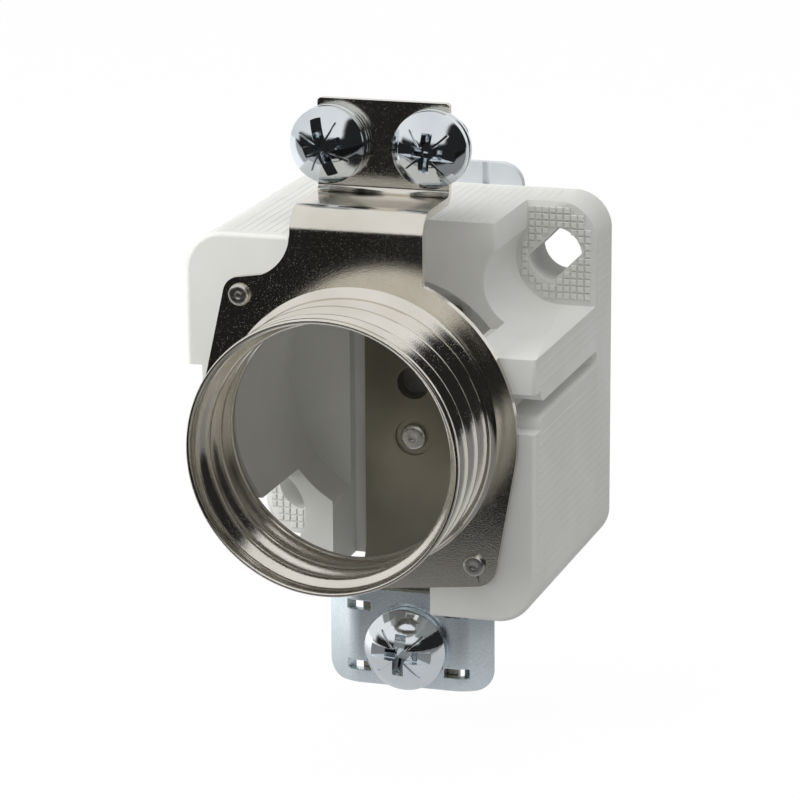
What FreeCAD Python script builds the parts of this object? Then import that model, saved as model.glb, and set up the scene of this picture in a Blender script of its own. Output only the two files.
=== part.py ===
import FreeCAD, Part
import math
import os
from FreeCAD import Vector

# Single-pole screw-in fuse base for a 35 mm mounting rail, for fuses with an E33 screw cap.
# X is to the right, Z is up, and the fuse is screwed in from the front, along +Y.
# The origin is on the fuse axis, in the plane where the rail's front face touches the clip.
# All sizes are in millimetres.

os.makedirs("parts", exist_ok=True)

# Ceramic body
body_width = 45.0
body_height = 47.2
body_depth = 36.8
body_corner = 5.0
edge_round = 0.6
well_radius = 16.3
well_depth = 21.3
shelf_depth = 13.8
ear_thickness = 8.0
block_inner_x = 9.0
fixing_side_margin = 5.45
fixing_top_margin = 7.0
pocket_side_margin = 3.75
pocket_floor_margin = 6.5
pocket_round = 6.0
pocket_round_shift = 0.85
recess_side = 1.35
fixing_hole_radius = 3.55
fixing_hole_flats = 4.5
fixing_hole_turn = 45.0
side_relief_depth = 2.0
side_relief_top = 6.5
slit_height = 2.0
slit_top = 4.2
slit_depth = 4.5
slit_length = 29.6
notch_height = 5.0
notch_rise = 1.5
notch_depth = 2.6
notch_width = 5.0
notch_round = 1.2

# Threaded contact: one sheet with a rolled thread, a flange, two ears and a terminal plate
contact_sheet = 1.0
shell_sheet = 0.5
thread_major = 34.5
thread_pitch = 4.233
thread_wave = 0.675
thread_grooves = 3
ring_height = 15.2
flange_width = 3.15
ear_angle = 46.93
ear_reach = 1.64
upper_ear_radius = 2.2
lower_ear_radius = 2.8
ear_fillet = 6.0
strip_fillet = 0.5
strip_width = 17.0
shelf_clearance = 3.8
shelf_front_round = 3.2
shelf_back_round = 0.8
plate_setback = 11.3
plate_height = 11.6

# Foot contact
foot_width = 13.0
foot_sheet = 1.0
foot_top = 10.5
foot_bottom = 40.0
foot_channel_side = 1.7
foot_channel_depth = 2.0
foot_joggle = 1.5
foot_joggle_top = 22.2
foot_joggle_height = 3.0
gauge_hole_radius = 2.1
gauge_collar_radius = 2.9
gauge_collar_length = 1.6
gauge_clearance_radius = 3.4
gauge_clearance_depth = 5.0

# M5 terminal screws and their washers, and the M6 saddle screw
screw_radius = 2.4
screw_head_radius = 4.85
screw_head_height = 3.5
screw_head_side = 1.3
screw_recess_radius = 2.3
screw_recess_depth = 1.9
screw_slot_width = 1.1
screw_slot_depth = 1.3
screw_tip_chamfer = 0.5
thread_fit = 0.05
tapped_collar_radius = 3.4
tapped_collar_length = 1.6
washer_radius = 4.9
washer_thickness = 0.9
washer_play = 0.3
terminal_screw_x = 6.6
terminal_screw_rise = 6.1
terminal_screw_length = 9.0
saddle_screw_z = 34.7
saddle_screw_length = 12.0
saddle_screw_radius = 2.9
saddle_head_radius = 5.5
saddle_head_height = 4.2
saddle_collar_radius = 4.0
left_slot_turn = 72.0
right_slot_turn = 6.0
saddle_slot_turn = 5.0

# Saddle clamp
saddle_sheet = 1.2
saddle_gap = 0.3
saddle_flat = 14.8
saddle_wing = 4.4
saddle_wing_angle = 30.0
saddle_height = 13.0
saddle_top = 27.2
saddle_corner = 2.6
saddle_window_width = 2.4
saddle_window_height = 1.2
saddle_window_margin = 1.8

# Rivets
ring_rivet_radius = 1.1
ring_rivet_head_radius = 1.4
ring_rivet_head = 0.6
ring_rivet_grip = 8.0
ring_rivet_access_radius = 3.2
foot_rivet_radius = 1.25
foot_rivet_head_radius = 1.7
foot_rivet_head = 0.7
foot_rivet_z = 7.2
foot_dimple_radius = 2.4
foot_dimple_depth = 0.4
rivet_fit = 0.05
rivet_edge_round = 0.2

# Rail clip, its latch and the spring
clip_sheet = 1.2
clip_width = 21.0
clip_top = 26.4
clip_bottom = 27.5
clip_corner = 3.0
clip_rib_x = 5.6
clip_rib_radius = 0.5
rail_half_height = 17.5
rail_lip = 1.0
rail_play = 0.3
hook_width = 8.0
hook_reach = 3.0
hook_window = 7.0
latch_width = 12.0
latch_gap = 0.25
latch_tail = 31.5
release_slot_width = 5.0
release_slot_height = 1.4
latch_nose = 0.8
guide_lip = 1.6
guide_wall = 1.0
guide_length = 4.0
spring_radius = 1.9
spring_wire = 0.5
spring_turns = 4
spring_window_top = 20.6
spring_length = 5.6
spring_play = 0.3

# Levels along Y that several pieces share
body_back = -clip_sheet
body_front = body_back - body_depth
well_floor = body_front + well_depth
shelf_level = body_front + shelf_depth
ear_face = body_back - ear_thickness
half_width = body_width / 2
half_height = body_height / 2
fixing_x = half_width - fixing_side_margin
fixing_z = half_height - fixing_top_margin
pocket_side_x = fixing_x - pocket_side_margin
pocket_floor_z = fixing_z - pocket_floor_margin
flange_radius = thread_major / 2 + flange_width
rivet_x = (flange_radius + ear_reach) * math.cos(math.radians(ear_angle))
rivet_z = (flange_radius + ear_reach) * math.sin(math.radians(ear_angle))
shelf_height = half_height + shelf_clearance
plate_top = shelf_height + plate_height
terminal_screw_z = shelf_height + terminal_screw_rise
channel_floor = well_floor + foot_channel_depth
foot_back = channel_floor
foot_front = foot_back - foot_sheet
foot_plate_front = foot_front - foot_joggle
foot_plate_back = foot_plate_front + foot_sheet
plate_front = body_front - contact_sheet + plate_setback
plate_back = plate_front + contact_sheet
saddle_back = foot_plate_front - saddle_gap
saddle_front = saddle_back - saddle_sheet
hole_radius = screw_radius + thread_fit
saddle_hole_radius = saddle_screw_radius + thread_fit
over = 1.0
eps = 0.01


def box(x0, x1, y0, y1, z0, z1):
    """A box from its two corners."""
    return Part.makeBox(x1 - x0, y1 - y0, z1 - z0, Vector(x0, y0, z0))


def rod(radius, y0, y1, x=0.0, z=0.0):
    """A cylinder along Y between two levels."""
    return Part.makeCylinder(radius, y1 - y0, Vector(x, y0, z), Vector(0, 1, 0))


def half_turn(shape):
    """A copy turned by half a turn about the fuse axis."""
    copy = shape.copy()
    copy.rotate(Vector(0, 0, 0), Vector(0, 1, 0), 180)
    return copy


def prism(points, y0, y1):
    """A flat outline of (x, z) corners, extruded between two levels along Y."""
    corners = [Vector(x, y0, z) for x, z in points]
    face = Part.Face(Part.makePolygon(corners + corners[:1]))
    return face.extrude(Vector(0, y1 - y0, 0))


def bent_sheet(points, width):
    """A side profile of (y, z) corners, extruded across the middle of the part."""
    corners = [Vector(-width / 2, y, z) for y, z in points]
    face = Part.Face(Part.makePolygon(corners + corners[:1]))
    return face.extrude(Vector(width, 0, 0))


def runs_back(edge):
    """True for an edge that runs from front to back."""
    along = edge.tangentAt(edge.FirstParameter)
    return abs(along.y) > abs(along.x) + abs(along.z)


def round_block(x0, x1, y0, y1, z0, z1, radius):
    """A box whose four edges along Y are rounded."""
    block = box(x0, x1, y0, y1, z0, z1)
    along = [e for e in block.Edges if runs_back(e)]
    return block.makeFillet(radius, along)


def fixing_hole():
    """The fixing hole: a round hole between two flats that run towards the corner."""
    hole = rod(fixing_hole_radius, ear_face - eps, body_back + eps)
    reach = 2 * fixing_hole_radius
    half_flats = fixing_hole_flats / 2
    band = box(-reach, reach, ear_face - over, body_back + over, -half_flats, half_flats)
    band.rotate(Vector(0, 0, 0), Vector(0, 1, 0), -fixing_hole_turn)
    hole = hole.common(band)
    hole.translate(Vector(fixing_x, 0, fixing_z))
    return hole


def corner_pocket():
    """The open corner that leaves a thin ear with a fixing hole."""
    y0 = body_front - over
    side = half_width + over
    top = half_height + over
    round_x = fixing_x + pocket_round_shift
    round_z = pocket_floor_z + pocket_round
    open_corner = box(pocket_side_x, side, y0, ear_face, round_z, top)
    round_part = rod(pocket_round, y0, ear_face, round_x, round_z)
    floor_part = box(round_x, side, y0, ear_face, pocket_floor_z, round_z + eps)
    return open_corner.fuse([round_part, floor_part, fixing_hole()])


def side_slit():
    """The slit along the right side, with a wider notch at its front."""
    x0 = half_width - slit_depth
    x1 = half_width + over
    back = body_front + slit_length
    low = slit_top - slit_height
    notch_back = body_front + notch_depth
    notch_top = slit_top + notch_rise
    notch_low = notch_top - notch_height
    notch = box(x0, x1, body_front - over, notch_back, notch_low, notch_top)
    slit = notch.fuse(box(x0, x1, notch_back - over, back, low, slit_top)).removeSplitter()
    across = [e for e in slit.Edges if abs(e.tangentAt(e.FirstParameter).x) > 1 - eps]
    mouth = [e for e in across if abs(e.BoundBox.YMin - notch_back) < eps
             and low - eps < e.BoundBox.ZMin < slit_top + eps]
    slit = slit.makeFillet(notch_round, mouth)
    across = [e for e in slit.Edges if abs(e.tangentAt(e.FirstParameter).x) > 1 - eps]
    end = [e for e in across if e.BoundBox.YMin > back - eps]
    slit = slit.makeFillet(slit_height / 2 - eps, end)
    deep = box(half_width - notch_width, x0 + eps, body_front - over, notch_back, notch_low, notch_top)
    return slit.fuse(deep)


def ceramic_base():
    """The moulded ceramic body with its well, recesses, ears and channel for the foot contact."""
    body = round_block(-half_width, half_width, body_front, body_back, -half_height, half_height,
                       body_corner)
    front_edges = [e for e in body.Edges if e.BoundBox.YMax < body_front + eps]
    body = body.makeFillet(edge_round, front_edges)
    pocket = corner_pocket()
    recess_x = pocket_side_x + recess_side
    top_recess = box(-block_inner_x, recess_x, body_front - over, shelf_level,
                     pocket_floor_z, half_height + over)
    foot_recess = half_turn(top_recess)
    half_channel = foot_width / 2 + foot_channel_side
    channel = box(-half_channel, half_channel, shelf_level - eps, channel_floor,
                  -half_height - over, foot_top + foot_channel_side)
    channel_top = rod(well_radius, shelf_level - over, channel_floor)
    lower = box(-half_channel, half_channel, shelf_level - over, channel_floor, -half_height - over, 0)
    channel = channel.common(channel_top.fuse(lower))
    relief = box(-half_width - over, -half_width + side_relief_depth, body_front - over, ear_face,
                 -pocket_floor_z - eps, side_relief_top)
    cuts = [rod(well_radius, body_front - over, well_floor), pocket, half_turn(pocket), top_recess,
            foot_recess, channel, relief, side_slit(),
            rod(gauge_clearance_radius, channel_floor - eps, channel_floor + gauge_clearance_depth)]
    for sign in (1, -1):
        cuts.append(rod(foot_rivet_radius + rivet_fit, well_floor - over, body_back + over,
                        0, sign * foot_rivet_z))
        cuts.append(rod(ring_rivet_radius + rivet_fit, body_front - over, body_back + over,
                        -sign * rivet_x, sign * rivet_z))
        cuts.append(rod(ring_rivet_access_radius, body_front + ring_rivet_grip, body_back + over,
                        -sign * rivet_x, sign * rivet_z))
    for cut in cuts:
        body = body.cut(cut)
    return body


def thread_profile(offset):
    """One side of the rolled sheet: arcs that pass smoothly from crest to groove, from the rim back."""
    crest = thread_major / 2 - shell_sheet / 2
    quarter = thread_pitch / 4
    half_angle = 2 * math.atan(thread_wave / quarter)
    radius = quarter / math.sin(half_angle)
    rim = body_front - ring_height
    edges = []
    for index in range(2 * thread_grooves + 1):
        outward = index % 2 == 0
        side = 1 if outward else -1
        middle = rim + index * 2 * quarter
        centre = crest - radius if outward else crest - 2 * thread_wave + radius
        arc_radius = radius + side * offset
        start = 0.0 if index == 0 else -half_angle
        end = 0.0 if index == 2 * thread_grooves else half_angle
        corners = []
        for angle in (start, (start + end) / 2, end):
            corners.append(Vector(centre + side * arc_radius * math.cos(angle),
                                  middle + arc_radius * math.sin(angle), 0))
        edges.append(Part.Arc(*corners).toShape())
    last = edges[-1].Vertexes[-1].Point
    edges.append(Part.makeLine(last, Vector(last.x, body_front - contact_sheet / 2, 0)))
    return edges


def thread_shell():
    """The rolled sheet turned about the fuse axis."""
    outer = thread_profile(shell_sheet / 2)
    inner = thread_profile(-shell_sheet / 2)
    front = Part.makeLine(outer[0].Vertexes[0].Point, inner[0].Vertexes[0].Point)
    back = Part.makeLine(outer[-1].Vertexes[-1].Point, inner[-1].Vertexes[-1].Point)
    wire = Part.Wire(Part.__sortEdges__(outer + inner + [front, back]))
    return Part.Face(wire).revolve(Vector(0, 0, 0), Vector(0, 1, 0), 360)


def flange_outline():
    """The flange: a round plate with two ears and the foot of the terminal strip."""
    y0 = body_front - contact_sheet
    plate = rod(flange_radius, y0, body_front)
    for sign, ear_radius in ((1, upper_ear_radius), (-1, lower_ear_radius)):
        x = -sign * rivet_x
        z = sign * rivet_z
        ear = rod(ear_radius, y0, body_front, x, z)
        reach = math.hypot(x, z)
        lean = math.acos((flange_radius - ear_radius) / reach)
        middle = math.atan2(z, x)
        web = [(0, 0)]
        for angle in (middle - lean, middle + lean):
            web.append((flange_radius * math.cos(angle), flange_radius * math.sin(angle)))
            web.append((x + ear_radius * math.cos(angle), z + ear_radius * math.sin(angle)))
        web = [web[0], web[1], web[2], web[4], web[3]]
        plate = plate.fuse(ear).fuse(prism(web, y0, body_front))
    strip = box(-strip_width / 2, strip_width / 2, y0, body_front, 0, shelf_height - shelf_front_round)
    hollow_x = -strip_width / 2 - ear_fillet
    hollow_z = rivet_z + upper_ear_radius + ear_fillet
    shoulder = box(-rivet_x, -strip_width / 2, y0, body_front, 0, hollow_z)
    shoulder = shoulder.cut(box(-half_width - over, hollow_x, y0 - over, body_front + over,
                                hollow_z - ear_fillet, hollow_z + over))
    shoulder = shoulder.cut(rod(ear_fillet, y0 - over, body_front + over, hollow_x, hollow_z))
    plate = plate.fuse([strip, shoulder]).removeSplitter()
    corners = [e for e in plate.Edges if runs_back(e) and abs(e.Vertexes[0].X - strip_width / 2) < eps
               and e.Vertexes[0].Z < shelf_height - shelf_front_round - over]
    return plate.makeFillet(strip_fillet, corners)


def terminal_strip():
    """The strip above the flange: it bends back over the body and then up as the terminal plate."""
    t = contact_sheet
    front = body_front - t
    top = shelf_height
    r = shelf_front_round
    b = shelf_back_round
    h = strip_width / 2

    def at(y, z):
        return Vector(-h, y, z)

    def bend(centre_y, centre_z, radius, start, end):
        angles = [math.radians(a) for a in (start, (start + end) / 2, end)]
        return Part.Arc(*[at(centre_y + radius * math.cos(a), centre_z + radius * math.sin(a))
                          for a in angles]).toShape()

    low = top - r
    edges = [
        bend(front + r, top - r, r, 180, 90),
        Part.makeLine(at(front + r, top), at(plate_front - b, top)),
        bend(plate_front - b, top + b, b, -90, 0),
        Part.makeLine(at(plate_front, top + b), at(plate_front, plate_top)),
        Part.makeLine(at(plate_front, plate_top), at(plate_back, plate_top)),
        Part.makeLine(at(plate_back, plate_top), at(plate_back, top + b)),
        bend(plate_front - b, top + b, b + t, 0, -90),
        Part.makeLine(at(plate_front - b, top - t), at(front + r, top - t)),
        bend(front + r, top - r, r - t, 90, 180),
        Part.makeLine(at(front + t, low), at(front, low)),
    ]
    strip = Part.Face(Part.Wire(edges)).extrude(Vector(2 * h, 0, 0))
    upright = [e for e in strip.Edges if runs_back(e) and e.BoundBox.ZMin > plate_top - eps]
    return strip.makeFillet(strip_fillet, upright)


def thread_contact():
    """The whole threaded contact with its tapped screw holes."""
    flange_front = body_front - contact_sheet
    well = rod(thread_major / 2 - shell_sheet, flange_front - over, body_front + over)
    contact = flange_outline().cut(well).fuse(thread_shell()).fuse(terminal_strip())
    for sign in (1, -1):
        x = sign * terminal_screw_x
        collar_end = plate_back + tapped_collar_length
        contact = contact.fuse(rod(tapped_collar_radius, plate_back - eps, collar_end, x, terminal_screw_z))
        contact = contact.cut(rod(hole_radius, plate_front - over, collar_end + over, x, terminal_screw_z))
        contact = contact.cut(rod(ring_rivet_radius + rivet_fit, flange_front - over, body_front + over,
                                  -sign * rivet_x, sign * rivet_z))
    return contact.removeSplitter()


def ring_rivet(sign):
    """A small tubular rivet that holds an ear of the flange on the ceramic."""
    x = -sign * rivet_x
    z = sign * rivet_z
    top = body_front - contact_sheet
    seat = body_front + ring_rivet_grip
    rivet = rod(ring_rivet_radius, top - eps, seat + eps, x, z)
    head = rod(ring_rivet_head_radius, top - ring_rivet_head, top, x, z)
    tail = rod(ring_rivet_head_radius + ring_rivet_head, seat, seat + ring_rivet_head, x, z)
    rivet = rivet.fuse([head, tail]).removeSplitter()
    rim = [e for e in rivet.Edges if e.BoundBox.YMax < top - ring_rivet_head + eps]
    return rivet.makeFillet(rivet_edge_round, rim)


def foot_contact():
    """The foot contact: a strip with a tapped hole for the gauge piece, joggled to the saddle clamp."""
    z1 = -foot_joggle_top
    z2 = -foot_joggle_top - foot_joggle_height
    front = [(foot_front, foot_top), (foot_front, z1), (foot_plate_front, z2),
             (foot_plate_front, -foot_bottom)]
    back = [(foot_plate_back, -foot_bottom), (foot_plate_back, z2 - foot_sheet / 2),
            (foot_back, z1 - foot_sheet / 2), (foot_back, foot_top)]
    strip = bent_sheet(front + back, foot_width)
    corners = [e for e in strip.Edges if runs_back(e)
               and (e.BoundBox.ZMin > foot_top - eps or e.BoundBox.ZMax < -foot_bottom + eps)]
    strip = strip.makeFillet(foot_sheet, corners)
    strip = strip.fuse(rod(gauge_collar_radius, foot_back - eps, foot_back + gauge_collar_length))
    collar_end = foot_plate_back + tapped_collar_length
    strip = strip.fuse(rod(saddle_collar_radius, foot_plate_back - eps, collar_end, 0, -saddle_screw_z))
    strip = strip.cut(rod(gauge_hole_radius, foot_front - over, foot_back + gauge_collar_length + over))
    strip = strip.cut(rod(saddle_hole_radius, foot_plate_front - over, collar_end + over,
                          0, -saddle_screw_z))
    for sign in (1, -1):
        z = sign * foot_rivet_z
        strip = strip.cut(rod(foot_dimple_radius, foot_front - over, foot_front + foot_dimple_depth, 0, z))
        strip = strip.cut(rod(foot_rivet_radius + rivet_fit, foot_front - over, foot_back + over, 0, z))
    return strip


def foot_rivet(sign):
    """A rivet through the foot contact, the ceramic and the rail clip."""
    z = sign * foot_rivet_z
    seat = foot_front + foot_dimple_depth
    shank = rod(foot_rivet_radius, seat - eps, eps, 0, z)
    head = rod(foot_rivet_head_radius, seat - foot_rivet_head, seat, 0, z)
    tail = rod(foot_rivet_head_radius, 0, foot_rivet_head, 0, z)
    rivet = shank.fuse([head, tail]).removeSplitter()
    ends = [e for e in rivet.Edges if e.BoundBox.YMax < seat - foot_rivet_head + eps
            or e.BoundBox.YMin > foot_rivet_head - eps]
    return rivet.makeFillet(rivet_edge_round, ends)


def screw(x, z, seat, length, slot_turn, radius, head_radius, head_height):
    """A pan-head screw with a slot and a cross recess. Its head rests on the level seat."""
    side = seat - screw_head_side
    top = seat - head_height
    profile = [
        Part.makeLine(Vector(0, seat, 0), Vector(head_radius, seat, 0)),
        Part.makeLine(Vector(head_radius, seat, 0), Vector(head_radius, side, 0)),
    ]
    rise = side - top
    dome_radius = (head_radius ** 2 + rise ** 2) / (2 * rise)
    half_way = math.asin(head_radius / dome_radius) / 2
    middle = Vector(dome_radius * math.sin(half_way), top + dome_radius * (1 - math.cos(half_way)), 0)
    profile.append(Part.Arc(Vector(head_radius, side, 0), middle, Vector(0, top, 0)).toShape())
    profile.append(Part.makeLine(Vector(0, top, 0), Vector(0, seat, 0)))
    head = Part.Face(Part.Wire(profile)).revolve(Vector(0, 0, 0), Vector(0, 1, 0), 360)
    slot = box(-head_radius, head_radius, top - over, top + screw_slot_depth,
               -screw_slot_width / 2, screw_slot_width / 2)
    arm = box(-screw_recess_radius, screw_recess_radius, top - over, top + screw_recess_depth,
              -screw_slot_width / 2, screw_slot_width / 2)
    cross = arm.copy()
    cross.rotate(Vector(0, 0, 0), Vector(0, 1, 0), 90)
    head = head.cut(slot.fuse([arm, cross]))
    shank = rod(radius, seat - eps, seat + length)
    tip = [e for e in shank.Edges if e.BoundBox.YMin > seat + length - eps]
    shank = shank.makeChamfer(screw_tip_chamfer, tip)
    whole = head.fuse(shank).removeSplitter()
    whole.rotate(Vector(0, 0, 0), Vector(0, 1, 0), slot_turn)
    whole.translate(Vector(x, 0, z))
    return whole


def terminal_washer(x):
    """The captive washer under a terminal screw's head."""
    back = plate_front
    disc = rod(washer_radius, back - washer_thickness, back, x, terminal_screw_z)
    hole = rod(screw_radius + washer_play, back - washer_thickness - over, back + over, x, terminal_screw_z)
    return disc.cut(hole)


def saddle_clamp():
    """The pressed saddle: a flat with two wings bent back, small windows at the bends and a hole."""
    half = saddle_flat / 2
    bend = math.radians(saddle_wing_angle)
    dx = saddle_wing * math.cos(bend)
    dy = saddle_wing * math.sin(bend)
    t = saddle_sheet
    inset = t * math.tan(bend / 2)
    tx = t * math.sin(bend)
    ty = t * math.cos(bend)
    z0 = -saddle_top - saddle_height
    right = [(half, saddle_front), (half + dx, saddle_front + dy),
             (half + dx - tx, saddle_front + dy + ty), (half - inset, saddle_back)]
    left = [(-x, y) for x, y in reversed(right)]
    corners = [Vector(x, y, z0) for x, y in right + left]
    saddle = Part.Face(Part.makePolygon(corners + corners[:1])).extrude(Vector(0, 0, saddle_height))
    ends = []
    for edge in saddle.Edges:
        middle = edge.CenterOfMass
        level = abs(edge.tangentAt(edge.FirstParameter).z) < eps
        if level and abs(middle.x) > half + dx - tx + eps and edge.Length < t + eps:
            ends.append(edge)
    saddle = saddle.makeFillet(saddle_corner, ends)
    upper = -saddle_top - saddle_window_margin - saddle_window_height
    lower = z0 + saddle_window_margin
    for x in (-half, half - saddle_window_width):
        for z in (upper, lower):
            saddle = saddle.cut(box(x, x + saddle_window_width, saddle_front - over, saddle_back + over,
                                    z, z + saddle_window_height))
    hole_size = saddle_screw_radius + washer_play
    return saddle.cut(rod(hole_size, saddle_front - over, saddle_back + over, 0, -saddle_screw_z))


def hook_profile(width, root_z, lip_z, nose):
    """A sheet hook in side view: it goes back over a rail lip and then along its rear."""
    t = clip_sheet
    inner = rail_lip + latch_gap
    outer = inner + t
    sign = 1 if root_z > 0 else -1
    points = [(0, root_z), (0, root_z + sign * t), (outer, root_z + sign * t), (outer, lip_z + sign * nose),
              (inner, lip_z), (inner, root_z)]
    return bent_sheet(points, width)


def rail_clip():
    """The clip plate on the back of the body, with a fixed upper hook and guides for the latch."""
    half = clip_width / 2
    plate = box(-half, half, body_back, 0, -clip_bottom, clip_top)
    along = [e for e in plate.Edges if runs_back(e)]
    plate = plate.makeFillet(clip_corner, along)
    root = rail_half_height + rail_play
    window = box(-hook_width / 2, hook_width / 2, body_back - over, over, root - hook_window, root)
    plate = plate.cut(window)
    hook = hook_profile(hook_width, root, root - hook_reach, latch_nose)
    arm = box(-hook_width / 2, hook_width / 2, -clip_sheet, eps, root, root + clip_sheet)
    plate = plate.fuse([hook, arm])
    for x in (-clip_rib_x, clip_rib_x):
        rib = Part.makeCylinder(clip_rib_radius, clip_top + clip_bottom, Vector(x, body_back, -clip_bottom),
                                Vector(0, 0, 1))
        plate = plate.cut(rib)
    spring_half = spring_radius + spring_play
    lug_top = spring_window_top + spring_length
    gap = box(-spring_half, spring_half, body_back - over, over, -lug_top, -spring_window_top)
    plate = plate.cut(gap)
    lug = box(-spring_half + spring_play, spring_half - spring_play, -eps,
              latch_gap + clip_sheet, -lug_top - clip_sheet, -lug_top)
    plate = plate.fuse(lug)
    inner = latch_width / 2 + latch_gap
    z0 = -clip_bottom
    z1 = z0 + guide_length
    lip_front = 2 * latch_gap + clip_sheet
    lip_back = lip_front + clip_sheet
    wall = box(inner, inner + guide_wall, -eps, lip_back, z0, z1)
    guide = wall.fuse(box(inner - guide_lip, inner + guide_wall, lip_front, lip_back, z0, z1))
    plate = plate.fuse([guide, guide.mirror(Vector(0, 0, 0), Vector(1, 0, 0))])
    for z in (foot_rivet_z, -foot_rivet_z):
        plate = plate.cut(rod(foot_rivet_radius + rivet_fit, body_back - over, over, 0, z))
    return plate.removeSplitter()


def rail_latch():
    """The sliding latch below the rail, with a hook on top, a spring window and a release tail."""
    t = clip_sheet
    y0 = latch_gap
    root = -rail_half_height - rail_play
    inner = rail_lip + latch_gap
    outer = inner + t
    step = root - t
    points = [(y0, step), (y0, -latch_tail), (y0 + t, -latch_tail), (y0 + t, step - (outer - y0 - t)),
              (outer, step), (outer, root + hook_reach - latch_nose), (inner, root + hook_reach),
              (inner, root), (y0, root)]
    latch = bent_sheet(points, latch_width)
    spring_half = spring_radius + spring_play
    window = box(-spring_half, spring_half, -over, outer + over,
                 -spring_window_top - spring_length - clip_sheet - latch_gap, -spring_window_top)
    latch = latch.cut(window)
    slot_z = -latch_tail + clip_sheet
    latch = latch.cut(box(-release_slot_width / 2, release_slot_width / 2, -over, outer + over,
                          slot_z, slot_z + release_slot_height))
    corners = [e for e in latch.Edges if runs_back(e) and e.BoundBox.ZMax < -latch_tail + eps]
    return latch.makeFillet(clip_corner / 2, corners)


def latch_spring():
    """The coil spring in the latch's window: half turns, each one tilted to meet the next."""
    rise = (spring_length - spring_wire) / (2 * spring_turns)
    mean = spring_radius - spring_wire / 2
    low = -spring_window_top - spring_length + spring_wire / 2
    coil = None
    for index in range(2 * spring_turns):
        side = 1 if index % 2 == 0 else -1
        base = low + index * rise
        start = Vector(side * mean, 0, base)
        circle = Part.makeCircle(spring_wire / 2, start, Vector(0, 1, 0))
        centre = Vector(0, 0, base + rise / 2)
        axis = Vector(side * rise, 0, 2 * mean)
        turn = Part.Face(Part.Wire(circle)).revolve(centre, axis, 180)
        coil = turn if coil is None else coil.fuse(turn)
    coil.translate(Vector(0, latch_gap + clip_sheet / 2, 0))
    return coil


def build():
    """Every piece of the fuse base, by its name."""
    washer_seat = plate_front - washer_thickness
    pieces = {
        "ceramic_base": ceramic_base(),
        "thread_contact": thread_contact(),
        "contact_rivet_upper": ring_rivet(1),
        "contact_rivet_lower": ring_rivet(-1),
        "foot_contact": foot_contact(),
        "foot_rivet_upper": foot_rivet(1),
        "foot_rivet_lower": foot_rivet(-1),
        "saddle_clamp": saddle_clamp(),
        "saddle_screw": screw(0, -saddle_screw_z, saddle_front, saddle_screw_length, saddle_slot_turn,
                              saddle_screw_radius, saddle_head_radius, saddle_head_height),
        "rail_clip": rail_clip(),
        "rail_latch": rail_latch(),
        "latch_spring": latch_spring(),
    }
    for name, x, turn in (("left", -terminal_screw_x, left_slot_turn),
                          ("right", terminal_screw_x, right_slot_turn)):
        pieces["terminal_washer_" + name] = terminal_washer(x)
        pieces["terminal_screw_" + name] = screw(x, terminal_screw_z, washer_seat, terminal_screw_length,
                                                 turn, screw_radius, screw_head_radius, screw_head_height)
    return pieces


for node, shape in build().items():
    shape.exportStep("parts/" + node + ".step")
    bounds = shape.BoundBox
    print(node, shape.ShapeType, "solids", len(shape.Solids), "valid", shape.isValid(),
          "x %.2f..%.2f y %.2f..%.2f z %.2f..%.2f" % (bounds.XMin, bounds.XMax, bounds.YMin, bounds.YMax,
                                                   bounds.ZMin, bounds.ZMax))
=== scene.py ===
# %% [markdown]
# # A screw-in fuse base for a mounting rail
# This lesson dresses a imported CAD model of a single-pole fuse base: a white ceramic body, a rolled
# screw shell of nickel-plated sheet, zinc-plated screws and a clip for the rail behind it.
# The solids stay where they are. Some get a better finish, and some are replaced by a finer mesh.

# %% Load the fixed frame
import math

import bmesh
import bpy
from mathutils import Matrix, Vector


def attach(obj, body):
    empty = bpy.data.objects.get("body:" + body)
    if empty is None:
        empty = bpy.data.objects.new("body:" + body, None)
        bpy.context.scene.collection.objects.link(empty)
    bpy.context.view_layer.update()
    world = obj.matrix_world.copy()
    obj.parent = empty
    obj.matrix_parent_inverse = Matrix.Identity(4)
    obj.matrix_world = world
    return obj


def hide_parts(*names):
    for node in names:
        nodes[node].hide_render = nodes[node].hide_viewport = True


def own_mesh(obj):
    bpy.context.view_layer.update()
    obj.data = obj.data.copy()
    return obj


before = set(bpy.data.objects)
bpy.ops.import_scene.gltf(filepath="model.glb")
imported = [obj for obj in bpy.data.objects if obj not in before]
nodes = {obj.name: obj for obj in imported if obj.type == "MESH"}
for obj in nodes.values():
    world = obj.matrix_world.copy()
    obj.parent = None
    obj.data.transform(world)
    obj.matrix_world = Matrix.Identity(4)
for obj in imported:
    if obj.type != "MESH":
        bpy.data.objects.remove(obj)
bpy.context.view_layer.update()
MM = 0.001
print("nodes:", sorted(nodes))

# %% [markdown]
# ## The camera
# The photograph was taken from the right and from a little above, with a long lens. A camera can be
# placed by its coordinates and three turns, but such numbers are hard to read. Here two angles and a
# distance place it around the point that it looks at, as on a tripod.

# %% Place the camera
CAMERA_AZIMUTH = math.radians(17.46)
CAMERA_ELEVATION = math.radians(14.99)
CAMERA_ROLL = math.radians(-0.32)
CAMERA_DISTANCE = 467.45 * MM
CAMERA_AIM = Vector((8.61, -48.68, 6.9)) * MM
CAMERA_LENS = 175.86
CAMERA_SENSOR = 36.0
CAMERA_CLIP = 10.0 * MM

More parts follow.
